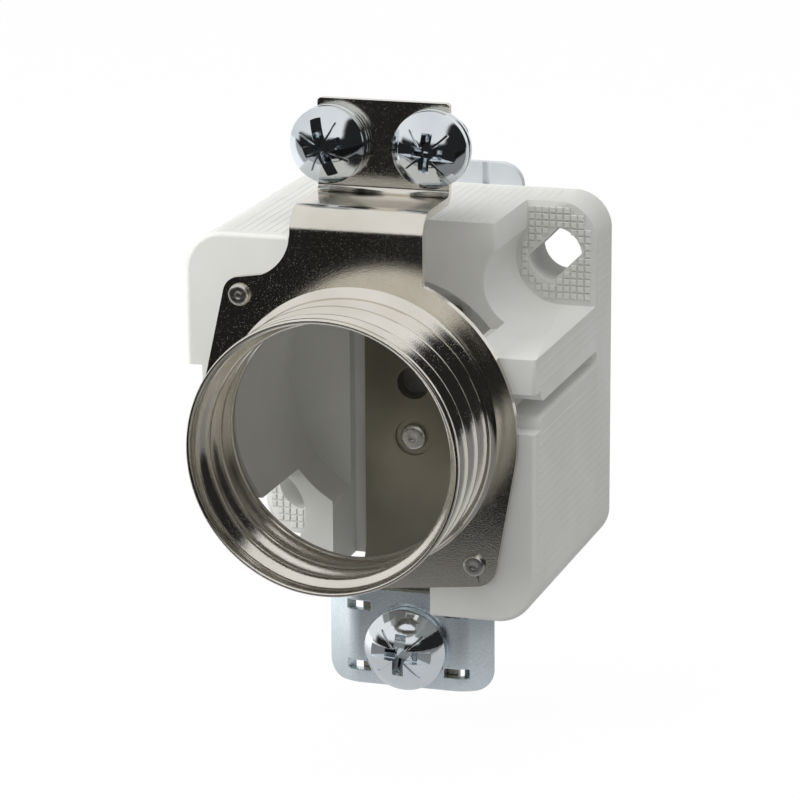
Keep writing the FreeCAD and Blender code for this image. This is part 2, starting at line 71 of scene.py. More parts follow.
away = Vector((math.sin(CAMERA_AZIMUTH) * math.cos(CAMERA_ELEVATION),
               -math.cos(CAMERA_AZIMUTH) * math.cos(CAMERA_ELEVATION),
               math.sin(CAMERA_ELEVATION)))
camera = bpy.data.objects.new("camera", bpy.data.cameras.new("camera"))
camera.data.lens = CAMERA_LENS
camera.data.sensor_width = CAMERA_SENSOR
camera.data.clip_start = CAMERA_CLIP
camera.location = CAMERA_AIM + away * CAMERA_DISTANCE
turn = away.to_track_quat("Z", "Y").to_matrix().to_4x4()
camera.rotation_euler = (turn @ Matrix.Rotation(CAMERA_ROLL, 4, "Z")).to_euler()
bpy.context.scene.collection.objects.link(camera)
bpy.context.scene.camera = camera
print("camera at", [round(v, 4) for v in camera.location])

# %% [markdown]
# ## A grain that several finishes share
# Pressed ceramic and plated sheet both have a fine grain, only at another size and depth. It could be
# built again in every material. One node group makes it instead, and each finish sets its own numbers
# on the group's inputs, so a change to the grain reaches all of them.

# %% The grain group


def new_group(name, inputs, outputs):
    """An empty shader group with named float and vector sockets."""
    group = bpy.data.node_groups.new(name, "ShaderNodeTree")
    for label, kind, value in inputs:
        socket = group.interface.new_socket(label, in_out="INPUT", socket_type=kind)
        if value is not None:
            socket.default_value = value
    for label, kind in outputs:
        group.interface.new_socket(label, in_out="OUTPUT", socket_type=kind)
    return group, group.nodes.new("NodeGroupInput"), group.nodes.new("NodeGroupOutput")


def math_node(tree, operation, first, second):
    """A math node. Each value is a number or another node's socket."""
    node = tree.nodes.new("ShaderNodeMath")
    node.operation = operation
    for index, value in enumerate((first, second)):
        if isinstance(value, (int, float)):
            node.inputs[index].default_value = value
        else:
            tree.links.new(value, node.inputs[index])
    return node.outputs[0]


def noise_node(tree, vector, scale, detail=2.0, roughness=0.5):
    """A 3-D noise that reads the given coordinates."""
    node = tree.nodes.new("ShaderNodeTexNoise")
    node.inputs["Detail"].default_value = detail
    node.inputs["Roughness"].default_value = roughness
    if isinstance(scale, (int, float)):
        node.inputs["Scale"].default_value = scale
    else:
        tree.links.new(scale, node.inputs["Scale"])
    tree.links.new(vector, node.inputs["Vector"])
    return node.outputs["Fac"]


grain, g_in, g_out = new_group(
    "fine grain",
    [("Vector", "NodeSocketVector", None), ("Scale", "NodeSocketFloat", 3000.0),
     ("Cloud Scale", "NodeSocketFloat", 60.0), ("Speck Scale", "NodeSocketFloat", 1800.0),
     ("Speck Size", "NodeSocketFloat", 0.12)],
    [("Height", "NodeSocketFloat"), ("Cloud", "NodeSocketFloat"), ("Specks", "NodeSocketFloat")])
fine = noise_node(grain, g_in.outputs["Vector"], g_in.outputs["Scale"], detail=3.0, roughness=0.6)
cloud = noise_node(grain, g_in.outputs["Vector"], g_in.outputs["Cloud Scale"])
cells = grain.nodes.new("ShaderNodeTexVoronoi")
grain.links.new(g_in.outputs["Vector"], cells.inputs["Vector"])
grain.links.new(g_in.outputs["Speck Scale"], cells.inputs["Scale"])
depth_in_speck = math_node(grain, "SUBTRACT", g_in.outputs["Speck Size"], cells.outputs["Distance"])
inside_speck = math_node(grain, "MAXIMUM", depth_in_speck, 0.0)
grain.links.new(fine, g_out.inputs["Height"])
grain.links.new(cloud, g_out.inputs["Cloud"])
grain.links.new(inside_speck, g_out.inputs["Specks"])
print("group:", grain.name)

# %% [markdown]
# ## The finishes
# The ceramic is matte and nearly white. Nickel is a warm silver with fine specks, where the plating is
# rough, and zinc is a cold, bluish one. A plain colour would look like plastic, and a picture of the
# surface would need a map for each piece. So every finish is a Principled shader, whose colour,
# roughness and bump vary with the grain group.

# %% One recipe for every finish
# The middle part of a noise, which is spread over the whole range of a value
NOISE_LOW = 0.3
NOISE_HIGH = 0.7
# The sockets of a Mix node that hold its two colours and its result
MIX_COLORS = (6, 7)
MIX_RESULT = 2


def mix_colors(tree, factor, first, second):
    """A colour that goes from the first to the second. Each is a colour or a socket."""
    node = tree.nodes.new("ShaderNodeMix")
    node.data_type = "RGBA"
    tree.links.new(factor, node.inputs[0])
    for index, color in zip(MIX_COLORS, (first, second)):
        if isinstance(color, tuple):
            node.inputs[index].default_value = (*color, 1.0)
        else:
            tree.links.new(color, node.inputs[index])
    return node.outputs[MIX_RESULT]


def map_range(tree, value, low, high):
    """A noise value spread between two limits."""
    node = tree.nodes.new("ShaderNodeMapRange")
    tree.links.new(value, node.inputs["Value"])
    node.inputs["From Min"].default_value = NOISE_LOW
    node.inputs["From Max"].default_value = NOISE_HIGH
    node.inputs["To Min"].default_value = low
    node.inputs["To Max"].default_value = high
    return node.outputs["Result"]


def finish_material(name, dark, light, metallic, rough, scales, bump_depth, specks=None):
    """A finish whose colour, roughness and bump all come from the grain group."""
    material = bpy.data.materials.new(name)
    material.use_nodes = True
    tree = material.node_tree
    shader = tree.nodes["Principled BSDF"]
    where = tree.nodes.new("ShaderNodeTexCoord")
    group = tree.nodes.new("ShaderNodeGroup")
    group.node_tree = grain
    group.inputs["Scale"].default_value = scales[0]
    group.inputs["Cloud Scale"].default_value = scales[1]
    tree.links.new(where.outputs["Object"], group.inputs["Vector"])
    color = mix_colors(tree, map_range(tree, group.outputs["Cloud"], 0.0, 1.0), dark, light)
    roughness = map_range(tree, group.outputs["Height"], rough[0], rough[1])
    height = group.outputs["Height"]
    if specks:
        speck_scale, speck_size, speck_height = specks
        group.inputs["Speck Scale"].default_value = speck_scale
        group.inputs["Speck Size"].default_value = speck_size
        raised = math_node(tree, "MULTIPLY", group.outputs["Specks"], speck_height)
        height = math_node(tree, "ADD", height, raised)
    tree.links.new(color, shader.inputs["Base Color"])
    tree.links.new(roughness, shader.inputs["Roughness"])
    bump = tree.nodes.new("ShaderNodeBump")
    bump.inputs["Strength"].default_value = 1.0
    bump.inputs["Distance"].default_value = bump_depth
    tree.links.new(height, bump.inputs["Height"])
    tree.links.new(bump.outputs["Normal"], shader.inputs["Normal"])
    shader.inputs["Metallic"].default_value = metallic
    return material


ceramic = finish_material(
    "white pressed ceramic", dark=(0.68, 0.68, 0.645), light=(0.745, 0.745, 0.72),
    metallic=0.0, rough=(0.5, 0.62), scales=(2600.0, 70.0), bump_depth=0.02 * MM)
nickel = finish_material(
    "bright nickel plating", dark=(0.66, 0.63, 0.56), light=(0.76, 0.73, 0.67),
    metallic=1.0, rough=(0.07, 0.15), scales=(5200.0, 120.0), bump_depth=0.009 * MM,
    specks=(4200.0, 0.2, 7.0))
# The satin nickel is rougher than the bright nickel, which is real, and its colour is far darker, which is
# painted shade for the foot contact deep in the well.
satin_nickel_painted_shade = finish_material(
    "satin nickel with painted shade", dark=(0.31, 0.29, 0.23), light=(0.40, 0.37, 0.30),
    metallic=1.0, rough=(0.34, 0.46), scales=(3200.0, 90.0), bump_depth=0.006 * MM)
zinc = finish_material(
    "bluish zinc plating", dark=(0.60, 0.65, 0.69), light=(0.74, 0.78, 0.81),
    metallic=1.0, rough=(0.05, 0.12), scales=(2400.0, 160.0), bump_depth=0.004 * MM)
zinc_sheet = finish_material(
    "zinc plated sheet", dark=(0.60, 0.68, 0.72), light=(0.72, 0.79, 0.83),
    metallic=1.0, rough=(0.20, 0.30), scales=(2400.0, 160.0), bump_depth=0.004 * MM)
dull_zinc = finish_material(
    "dull zinc plating", dark=(0.66, 0.70, 0.74), light=(0.76, 0.80, 0.83),
    metallic=0.45, rough=(0.38, 0.50), scales=(2400.0, 160.0), bump_depth=0.004 * MM)
rivet_metal = finish_material(
    "satin rivet metal", dark=(0.55, 0.54, 0.50), light=(0.68, 0.67, 0.63),
    metallic=1.0, rough=(0.22, 0.36), scales=(2800.0, 200.0), bump_depth=0.005 * MM)
FINISHES = (ceramic, nickel, satin_nickel_painted_shade, zinc, zinc_sheet, dull_zinc, rivet_metal)
print("finishes:", [finish.name for finish in FINISHES])

# %% [markdown]
# ## How a mesh becomes a piece
# Every piece needs its finish, the body that it moves with and its material slot. One helper gives it
# all three, so that none is forgotten. Shading can be flat or smooth all over, and neither suits a
# pressed part. Here only the edges that are sharper than an angle stay crisp.

# %% Link a piece and shade it
SMOOTH_DEGREES = 30


def finish_object(mesh, name, material, body, replaced):
    """Links a mesh as a piece of the model, on its body and in its material slot."""
    piece = bpy.data.objects.new(name, mesh)
    bpy.context.scene.collection.objects.link(piece)
    piece.data.materials.clear()
    piece.data.materials.append(material)
    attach(piece, body)
    for node in replaced:
        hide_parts(node)
    print(name, "faces", len(mesh.polygons))
    return piece


def mesh_from(bm, name):
    """A mesh with the given name from bmesh data, which is freed."""
    mesh = bpy.data.meshes.new(name)
    bm.to_mesh(mesh)
    bm.free()
    return mesh


def shade_by_angle(mesh, degrees=SMOOTH_DEGREES):
    """Smooth shading that keeps edges sharper than the angle."""
    limit = math.radians(degrees)
    bm = bmesh.new()
    bm.from_mesh(mesh)
    for face in bm.faces:
        face.smooth = True
    for edge in bm.edges:
        edge.smooth = not (edge.is_manifold and edge.calc_face_angle(0.0) > limit)
    bm.to_mesh(mesh)
    bm.free()


# %% [markdown]
# ## Softened copies of the solids
# Tumbling rounds the sharp edges of a pressed part. A subdivision surface would round its whole form,
# so a bevel rounds only the sharp edges. The bevel tilts the shading of the large faces beside it, and
# weighted normals keep those flat. Every modifier ends in a plain mesh in the frame of the CAD nodes.

# %% Copies with rounded edges
MERGE_DISTANCE = 0.002 * MM
FLAT_DEGREES = 0.5
SHARP_DEGREES = 32
BEVEL_SEGMENTS = 2
NORMAL_WEIGHT = 100


def apply_modifiers(mesh, name, add):
    """The mesh after the modifiers that the function add puts on it."""
    helper = bpy.data.objects.new(name + "_helper", mesh)
    bpy.context.scene.collection.objects.link(helper)
    add(helper)
    bpy.context.view_layer.update()
    done = bpy.data.meshes.new_from_object(helper.evaluated_get(bpy.context.evaluated_depsgraph_get()))
    bpy.data.objects.remove(helper)
    done.name = name
    return done


def bevelled(mesh, name, width, degrees=SHARP_DEGREES):
    """The mesh with its sharp edges rounded."""
    def add(helper):
        bevel = helper.modifiers.new("bevel", "BEVEL")
        bevel.width = width
        bevel.segments = BEVEL_SEGMENTS
        bevel.limit_method = "ANGLE"
        bevel.angle_limit = math.radians(degrees)
        bevel.harden_normals = False
    return apply_modifiers(mesh, name, add)


def merged_copy(node):
    """A copy of a CAD node's mesh with its triangles joined into faces."""
    bm = bmesh.new()
    bm.from_mesh(nodes[node].data)
    bmesh.ops.remove_doubles(bm, verts=bm.verts, dist=MERGE_DISTANCE)
    bmesh.ops.dissolve_limit(bm, angle_limit=math.radians(FLAT_DEGREES), verts=bm.verts,
                             edges=bm.edges)
    return mesh_from(bm, node + "_copy")


def softened(mesh, name, width, degrees=SHARP_DEGREES):
    """The mesh with rounded edges. Large faces are shaded flat and the roundings blend between them."""
    mesh = bevelled(mesh, name, width, degrees)
    shade_by_angle(mesh)

    def add(helper):
        normals = helper.modifiers.new("normals", "WEIGHTED_NORMAL")
        normals.mode = "FACE_AREA"
        normals.weight = NORMAL_WEIGHT
        normals.keep_sharp = True
    return apply_modifiers(mesh, name, add)


# %% [markdown]
# ## The rolled screw shell
# The shell is one sheet with a thread rolled into it. A profile swept along a helix would make a ridge,
# but not the sheet's inner side, which has the same wave. So the sheet is a grid of angles and levels.
# Its radius follows a cosine that climbs one pitch per turn and fades out near the rim, which leaves
# the round, flat mouth of the real one. Near the flange it flares out into the sheet.

# %% The shell as a grid on a helix
RIM_LEVEL = -53.2 * MM
FLANGE_FRONT = -39.0 * MM
FLANGE_BACK = -38.0 * MM
SHELL_SHEET = 0.5 * MM
SHELL_CREST = 17.25 * MM - SHELL_SHEET / 2
THREAD_WAVE = 0.62 * MM
THREAD_PITCH = 4.233 * MM
THREAD_START = 2.0 * MM
RIM_ROUND = 0.25 * MM
FLARE_RADIUS = 0.9 * MM
RIM_FLAT = 0.8 * MM
RIM_FADE = 1.6 * MM
FLANGE_FLAT = 0.3 * MM
FLANGE_FADE = 1.2 * MM
SHELL_MERGE = 0.001 * MM
SHELL_STEPS = 192
SHELL_ROWS = 84


def smooth_step(value):
    """A value that eases from 0 to 1."""
    value = min(max(value, 0.0), 1.0)
    return value * value * (3 - 2 * value)


def shell_radius(angle, level):
    """The middle of the sheet at an angle and a level along the axis."""
    depth = level - RIM_LEVEL
    length = FLANGE_FRONT - RIM_LEVEL
    past_rim = smooth_step((depth - RIM_FLAT) / RIM_FADE)
    before_flange = smooth_step((length - depth - FLANGE_FLAT) / FLANGE_FADE)
    fade = past_rim * before_flange
    phase = 2 * math.pi * (depth - THREAD_START) / THREAD_PITCH + angle
    return SHELL_CREST - fade * THREAD_WAVE * (1 + math.cos(phase))


def skin(bm, rings, steps):
    """Faces between each ring of points and the next."""
    for first, second in zip(rings, rings[1:]):
        for step in range(steps):
            after = (step + 1) % steps
            bm.faces.new((first[step], first[after], second[after], second[step]))


def shell_mesh():
    """The sheet as an outer and an inner grid, closed at the rim and at the flange."""
    bm = bmesh.new()
    half = SHELL_SHEET / 2
    levels = [RIM_LEVEL + (FLANGE_BACK - RIM_LEVEL) * row / SHELL_ROWS for row in range(SHELL_ROWS + 1)]
    rows = [(level, half) for level in levels] + [(level, -half) for level in reversed(levels)]
    rings = []
    for level, offset in rows:
        ring = []
        for step in range(SHELL_STEPS):
            angle = 2 * math.pi * step / SHELL_STEPS
            radius = shell_radius(angle, min(level, FLANGE_FRONT)) + offset
            near = (level - (FLANGE_FRONT - FLARE_RADIUS)) / FLARE_RADIUS
            if offset > 0 and near > 0:
                radius += FLARE_RADIUS * (1 - math.sqrt(max(0.0, 1 - min(near, 1.0) ** 2)))
            edge = (level - RIM_LEVEL) / RIM_ROUND
            if edge < 1:
                radius -= offset * (1 - math.sqrt(1 - (1 - edge) ** 2))
            ring.append(bm.verts.new((radius * math.cos(angle), level, radius * math.sin(angle))))
        rings.append(ring)
    skin(bm, rings + rings[:1], SHELL_STEPS)
    bmesh.ops.remove_doubles(bm, verts=bm.verts, dist=SHELL_MERGE)
    bmesh.ops.recalc_face_normals(bm, faces=bm.faces)
    for face in bm.faces:
        face.smooth = True
    return mesh_from(bm, "screw_shell")


finish_object(shell_mesh(), "screw_shell", nickel, "fuse_base", ["thread_contact"])

# %% [markdown]
# ## A lathe and a cutter
# Round pieces are turned: an outline of radii and levels goes round the Y axis. Blender can spin an
# outline too, but that leaves doubled points on the axis and at the seam, and a short loop closes both.
# The cutter takes the space of one mesh out of another with an exact boolean.

# %% The lathe and the cutter
ON_AXIS = 1e-9


def turned_mesh(name, outline, steps=64, smooth=True):
    """A closed outline of (radius, y) points turned about the Y axis."""
    bm = bmesh.new()
    rings = []
    for radius, y in outline:
        if radius < ON_AXIS:
            rings.append([bm.verts.new((0.0, y, 0.0))])
            continue
        ring = []
        for step in range(steps):
            angle = 2 * math.pi * step / steps
            ring.append(bm.verts.new((radius * math.cos(angle), y, radius * math.sin(angle))))
        rings.append(ring)
    for first, second in zip(rings, rings[1:]):
        for step in range(steps):
            after = (step + 1) % steps
            if len(first) == 1 and len(second) > 1:
                bm.faces.new((first[0], second[after], second[step]))
            elif len(second) == 1 and len(first) > 1:
                bm.faces.new((first[step], first[after], second[0]))
            elif len(first) > 1:
                bm.faces.new((first[step], first[after], second[after], second[step]))
    if len(rings[0]) > 1:
        for step in range(steps):
            after = (step + 1) % steps
            bm.faces.new((rings[-1][step], rings[-1][after], rings[0][after], rings[0][step]))
    bmesh.ops.recalc_face_normals(bm, faces=bm.faces)
    mesh = mesh_from(bm, name)
    if smooth:
        shade_by_angle(mesh)
    return mesh


def cut_by(mesh, name, cutters):
    """The mesh without the space of each cutter mesh."""
    helpers = []

    def add(helper):
        for index, cutter in enumerate(cutters):
            tool = bpy.data.objects.new("%s_cutter_%d" % (name, index), cutter)
            bpy.context.scene.collection.objects.link(tool)
            helpers.append(tool)
            boolean = helper.modifiers.new("cut", "BOOLEAN")
            boolean.operation = "DIFFERENCE"
            boolean.solver = "EXACT"
            boolean.object = tool
    done = apply_modifiers(mesh, name, add)
    for tool in helpers:
        bpy.data.objects.remove(tool)
    return done


# %% [markdown]
# ## The sheet that carries the shell
# The flange, its two ears, the strip and the terminal plate are cut from one sheet. They could be drawn
# again, but the solid already has their true outline. So its copy only loses the shell, whose grooves
# run straight round, and the helical one stands in its place.

# %% The flange, the strip and the terminal plate
SEAT_RADIUS = 17.9 * MM
CONTACT_EDGE = 0.12 * MM

shell_space = turned_mesh("shell_space", [(0.0, RIM_LEVEL - MM), (SEAT_RADIUS, RIM_LEVEL - MM),
                                          (SEAT_RADIUS, FLANGE_BACK + MM), (0.0, FLANGE_BACK + MM)],
                          SHELL_STEPS)
sheet = cut_by(merged_copy("thread_contact"), "thread_sheet", [shell_space])
finish_object(softened(sheet, "thread_sheet", CONTACT_EDGE), "thread_sheet", nickel, "fuse_base",
              ["thread_contact"])

# %% [markdown]
# ## The other sheet pieces
# The foot contact, the saddle, the clip and the latch are punched and bent, and their solids have the
# right form. Their copies get the small rounding of a punched edge. The saddle's upright bends get a
# larger one before that, because sheet never folds sharply.

# %% Softened copies of the sheet pieces
SADDLE_BEND = 7.4 * MM
SADDLE_BEND_ROUND = 1.1 * MM
BEND_REACH = 0.4 * MM
BEND_SEGMENTS = 4
BEND_LEAST = math.radians(20)
BEND_MOST = math.radians(40)
UPRIGHT_SHARE = 0.9


def round_saddle_bends(mesh):
    """Rounds the upright edges where the saddle's wings bend back."""
    bm = bmesh.new()
    bm.from_mesh(mesh)
    bends = []
    for edge in bm.edges:
        first, second = edge.verts
        upright = abs(first.co.z - second.co.z) > UPRIGHT_SHARE * edge.calc_length()
        near = abs(abs(first.co.x) - SADDLE_BEND) < BEND_REACH
        angle = edge.calc_face_angle(0.0) if edge.is_manifold else 0.0
        if upright and near and BEND_LEAST < angle < BEND_MOST:
            bends.append(edge)
    bmesh.ops.bevel(bm, geom=bends, offset=SADDLE_BEND_ROUND, segments=BEND_SEGMENTS, profile=0.5,
                    affect="EDGES")
    bm.to_mesh(mesh)
    bm.free()
    return mesh


# Each node's finish, body, slot and the rounding of its edges in millimetres
SHEET_PIECES = {
    "foot_contact": (satin_nickel_painted_shade, "fuse_base", "nickel_plated_sheet", 0.15),
    "saddle_clamp": (zinc_sheet, "saddle", "zinc_plated_steel", 0.2),
    "rail_clip": (dull_zinc, "fuse_base", "zinc_plated_steel", 0.15),
    "rail_latch": (dull_zinc, "latch", "zinc_plated_steel", 0.15),
}
for node, (material, body, slot, width) in SHEET_PIECES.items():
    copy = merged_copy(node)
    if node == "saddle_clamp":
        copy = round_saddle_bends(copy)
    name = node + "_sheet"
    finish_object(softened(copy, name, width * MM), name, material, body, [node])

# %% [markdown]
# ## The screws
# A pan head is a low dome with a round edge. Its recess takes a flat blade and a cross driver: a slot
# over the whole head, four tapered arms and four thin ticks between them. A bump could only hint at
# them, so they are cut out of a turned head.

# %% Outlines, prisms and copies in place


def rounded_corners(points, radius, steps=4):
    """An outline of (radius, y) points with its inner corners rounded."""
    result = [points[0]]
    for before, here, after in zip(points, points[1:], points[2:]):
        a = Vector(before) - Vector(here)
        b = Vector(after) - Vector(here)
        reach = min(radius, a.length / 2, b.length / 2)
        start = Vector(here) + a.normalized() * reach
        end = Vector(here) + b.normalized() * reach
        for step in range(steps + 1):
            t = step / steps
            middle = start.lerp(Vector(here), t).lerp(Vector(here).lerp(end, t), t)
            result.append((middle.x, middle.y))
    result.append(points[-1])
    return result


def prism_mesh(name, outline, half_width):
    """A side outline of (x, y) points, as wide along Z as twice the half width."""
    bm = bmesh.new()
    near = [bm.verts.new((x, y, -half_width)) for x, y in outline]
    far = [bm.verts.new((x, y, half_width)) for x, y in outline]
    bm.faces.new(near)
    bm.faces.new(far[::-1])
    count = len(outline)
    for index in range(count):
        after = (index + 1) % count
        bm.faces.new((near[index], near[after], far[after], far[index]))
    bmesh.ops.recalc_face_normals(bm, faces=bm.faces)
    return mesh_from(bm, name)


def joined(name, meshes):
    """One mesh that holds several closed ones."""
    bm = bmesh.new()
    for mesh in meshes:
        bm.from_mesh(mesh)
    return mesh_from(bm, name)


def place(mesh, x, y, z, turn=0.0):
    """A copy of the mesh, turned about Y and moved, so that its object can stay at the origin."""
    copy = mesh.copy()
    copy.transform(Matrix.Translation((x, y, z)) @ Matrix.Rotation(turn, 4, "Y"))
    return copy


# %% The head of a screw, for both sizes
HEAD_SIDE = 1.3 * MM
HEAD_EDGE_ROUND = 0.35 * MM
TICK_WIDTH = 0.24 * MM
TICK_DEPTH = 0.16 * MM
DOME_STEPS = 24
HEAD_STEPS = 96
HEAD_EDGE = 0.05 * MM
HEAD_SHARP_DEGREES = 28
# The recess: depths as shares of the head's height, reaches of its radius and widths of the slot
SLOT_DEPTH = 0.33
CROSS_DEPTH = 0.66
CROSS_REACH = 0.6
CROSS_FOOT = 0.35
CROSS_WIDTH = 0.46
TICK_FROM = 0.2
TICK_TO = 0.72
M5 = {"head": 4.85 * MM, "height": 3.5 * MM, "slot": 1.45 * MM, "thread": 2.38 * MM, "pitch": 0.8 * MM}
M6 = {"head": 5.5 * MM, "height": 4.2 * MM, "slot": 1.6 * MM, "thread": 2.88 * MM, "pitch": 1.0 * MM}


def dome_drop(size, radius):
    """How far the dome lies below its top at a radius."""
    rise = size["height"] - HEAD_SIDE
    sphere = (size["head"] ** 2 + rise ** 2) / (2 * rise)
    return sphere - math.sqrt(sphere ** 2 - radius ** 2)


def head_mesh(size):
    """The head with its recess. The seat is at level 0 and the dome points along -Y."""
    radius = size["head"]
    top = -size["height"]
    high = top - MM
    reaches = [radius * step / DOME_STEPS for step in range(DOME_STEPS + 1)]
    dome = [(reach, top + dome_drop(size, reach)) for reach in reaches]
    skirt = rounded_corners([dome[-2], dome[-1], (radius, -HEAD_SIDE / 2), (radius, 0.0), (0.0, 0.0)],
                            HEAD_EDGE_ROUND)
    head = turned_mesh("head", dome[:-2] + skirt, HEAD_STEPS, smooth=False)
    bottom = top + SLOT_DEPTH * size["height"]
    slot = prism_mesh("slot", [(-2 * radius, high), (2 * radius, high), (2 * radius, bottom),
                               (-2 * radius, bottom)], size["slot"] / 2)
    foot = top + CROSS_DEPTH * size["height"]
    reach = CROSS_REACH * radius
    narrow = CROSS_FOOT * reach
    arm = prism_mesh("arm", [(-reach, high), (reach, high), (reach, top), (narrow, foot),
                             (-narrow, foot), (-reach, top)], CROSS_WIDTH * size["slot"])
    near = TICK_FROM * radius
    far = TICK_TO * radius
    tick = prism_mesh("tick", [(near, high), (far, high), (far, top + dome_drop(size, far) + TICK_DEPTH),
                               (near, top + dome_drop(size, near) + TICK_DEPTH)], TICK_WIDTH / 2)
    cutters = [slot, arm, place(arm, 0, 0, 0, math.pi / 2)]
    cutters += [place(tick, 0, 0, 0, math.pi / 4 + quarter * math.pi / 2) for quarter in range(4)]
    head = cut_by(head, "head", cutters)
    return softened(head, "head", HEAD_EDGE, HEAD_SHARP_DEGREES)


# %% [markdown]
# ## The threaded shanks
# The end of each screw shows behind its plate. A thread is often drawn as rings, but rings don't climb.
# This rod's radius follows a ridge that climbs one pitch per turn, and its tip is chamfered.

# %% The shank, and the three screws in their places
TIP_LENGTH = 0.5 * MM
ROWS_PER_TURN = 10
SHANK_STEPS = 40
RIDGE_DEPTH = 0.54
RIDGE_SLOPE = 1.6
SHANK_SHARP_DEGREES = 35
SCREW_X = 6.6
SCREW_Z = 33.5
HEAD_SEAT = -28.6


def shank_mesh(size, length):
    """A closed rod with a helical ridge, from inside the head to its chamfered tip."""
    pitch = size["pitch"]
    crest = size["thread"]
    root = crest - RIDGE_DEPTH * pitch
    rows = int(length / pitch * ROWS_PER_TURN)
    bm = bmesh.new()
    rings = []
    for row in range(rows + 1):
        level = length * row / rows
        ring = []
        for step in range(SHANK_STEPS):
            angle = 2 * math.pi * step / SHANK_STEPS
            phase = (level / pitch - angle / (2 * math.pi)) % 1.0
            ridge = min(1.0, RIDGE_SLOPE * abs(2 * phase - 1))
            radius = min(root + (crest - root) * ridge, crest - max(0.0, level - length + TIP_LENGTH))
            ring.append(bm.verts.new((radius * math.cos(angle), level, radius * math.sin(angle))))
        rings.append(ring)
    skin(bm, rings, SHANK_STEPS)
    bm.faces.new(rings[0])
    bm.faces.new(rings[-1])
    bmesh.ops.recalc_face_normals(bm, faces=bm.faces)
    mesh = mesh_from(bm, "shank")
    shade_by_angle(mesh, SHANK_SHARP_DEGREES)
    return mesh


# Each screw's body, size, seat of its head and length in millimetres, and turn of its slot in degrees
SCREWS = {
    "terminal_screw_left": ("left_screw", M5, (-SCREW_X, HEAD_SEAT, SCREW_Z), 9.0, 72.0),
    "terminal_screw_right": ("right_screw", M5, (SCREW_X, HEAD_SEAT, SCREW_Z), 9.0, 6.0),
    "saddle_screw": ("saddle_bolt", M6, (0.0, -18.7, -34.7), 12.0, 5.0),
}
for node, (body, size, (x, y, z), length, slot_turn) in SCREWS.items():
    whole = joined(node + "_mesh", [head_mesh(size), shank_mesh(size, length * MM)])
    whole = place(whole, x * MM, y * MM, z * MM, math.radians(slot_turn))
    finish_object(whole, node + "_detail", zinc, body, [node])

# %% [markdown]
# ## Washers
# A captive washer is a flat ring with rounded edges. Its outline is closed, so the lathe makes the bore
# and the outside in one turn, and rounding the outline is simpler than bevelling the ring.

# %% Washers on the lathe
WASHER_BACK = -27.7
WASHER_BORE = 2.7
WASHER_RADIUS = 4.9
WASHER_START = 3.4
WASHER_ROUND = 0.25 * MM
WASHERS = {"terminal_washer_left": ("left_washer", -SCREW_X),
           "terminal_washer_right": ("right_washer", SCREW_X)}

washer_outline = [(WASHER_START, HEAD_SEAT), (WASHER_RADIUS, HEAD_SEAT), (WASHER_RADIUS, WASHER_BACK),
                  (WASHER_BORE, WASHER_BACK), (WASHER_BORE, HEAD_SEAT), (WASHER_START, HEAD_SEAT)]
washer_outline = rounded_corners([(r * MM, y * MM) for r, y in washer_outline], WASHER_ROUND)
for node, (body, x) in WASHERS.items():
    ring = place(turned_mesh(node + "_turned", washer_outline[:-1]), x * MM, 0.0, SCREW_Z * MM)
    finish_object(ring, node + "_ring", zinc, body, [node])

# %% [markdown]
# ## Rivets
# A tubular rivet is set with a pin, which leaves a dimple in its head and a soft rim around it. Head,
# shank and tail are round, so each rivet is one outline on the lathe. The two pairs differ in size.

# %% Rivets on the lathe
RIVET_STEPS = 48
RIVET_ROUND = 0.22 * MM
# The dimple's radii and depths, where the flat rim ends as a share of the radius, and its rounded drop
DIMPLE = ((0.0, 0.1), (0.3, 0.08), (0.55, 0.0))
RIM_SHARE = 0.78
RIM_DROP = 0.2


def rivet_outline(head_level, seat, head_radius, shank_radius, tail_seat, tail_level, tail_radius):
    """The (radius, y) outline of a set rivet, from the dimple in its head to the tail."""
    points = [(radius, head_level + depth) for radius, depth in DIMPLE]
    points += [(head_radius * RIM_SHARE, head_level), (head_radius, head_level + RIM_DROP),
               (head_radius, seat), (shank_radius, seat), (shank_radius, tail_seat),
               (tail_radius, tail_seat), (tail_radius, tail_level), (0.0, tail_level)]
    return rounded_corners([(r * MM, y * MM) for r, y in points], RIVET_ROUND)


ring_outline = rivet_outline(head_level=-39.6, seat=-39.0, head_radius=1.4, shank_radius=1.1,
                             tail_seat=-30.0, tail_level=-29.4, tail_radius=2.0)
foot_outline = rivet_outline(head_level=-16.0, seat=-15.3, head_radius=1.7, shank_radius=1.25,
                             tail_seat=0.0, tail_level=0.7, tail_radius=1.7)
ring_rivet = turned_mesh("ring_rivet", ring_outline, RIVET_STEPS)
foot_rivet = turned_mesh("foot_rivet", foot_outline, RIVET_STEPS)
RIVET_X = 15.05 * MM
RIVET_Z = 16.1 * MM
FOOT_RIVET_Z = 7.2 * MM
RIVETS = {
    "contact_rivet_upper": (ring_rivet, -RIVET_X, RIVET_Z),
    "contact_rivet_lower": (ring_rivet, RIVET_X, -RIVET_Z),
    "foot_rivet_upper": (foot_rivet, 0.0, FOOT_RIVET_Z),
    "foot_rivet_lower": (foot_rivet, 0.0, -FOOT_RIVET_Z),
}
for node, (mesh, x, z) in RIVETS.items():
    finish_object(place(mesh, x, 0.0, z), node + "_turned", rivet_metal, "fuse_base",
                  [node])

# %% [markdown]
# ## The ceramic body
# The body is pressed from a stiff paste, so its edges are soft. The solid has every recess, and only its
# edges need work. Its four sides are then set back by the height of the fine ribs that stand on them,
# so that the ribs reach the body's full size and no further.

# %% The body with soft edges
HALF_WIDTH = 22.5
HALF_HEIGHT = 23.6
RIB_HEIGHT = 0.045 * MM
BODY_EDGE = 0.35 * MM

